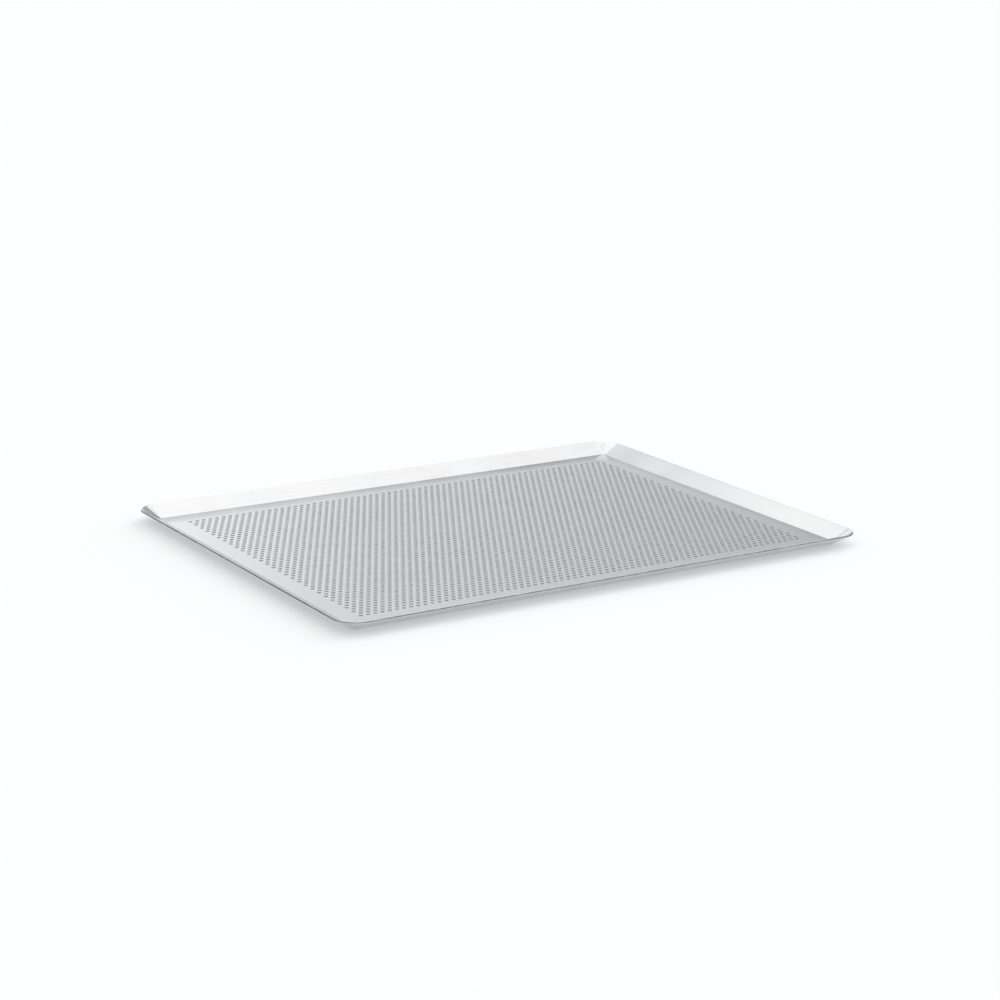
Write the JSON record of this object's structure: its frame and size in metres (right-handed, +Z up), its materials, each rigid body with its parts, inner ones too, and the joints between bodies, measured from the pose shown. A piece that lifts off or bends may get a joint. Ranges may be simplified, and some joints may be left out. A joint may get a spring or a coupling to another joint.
{
  "type": "perforated baking tray",
  "caption": "Flat baking tray pressed from one perforated sheet, with a low sloping flange and rounded corners all round.",
  "frame": {"origin": "on the underside, at the centre of the tray", "axes": "+X along the long side, +Y along the short side, +Z up, out of the tray"},
  "size_m": [0.4, 0.3, 0.009],
  "materials": {
    "aluminium_bottom": "satin rolled aluminium sheet",
    "aluminium_flange": "satin rolled aluminium sheet, finely brushed along the flange"
  },
  "bodies": {
    "root": {"perforated_bottom": "aluminium_bottom", "rim_flange": "aluminium_flange"}
  },
  "joints": []
}
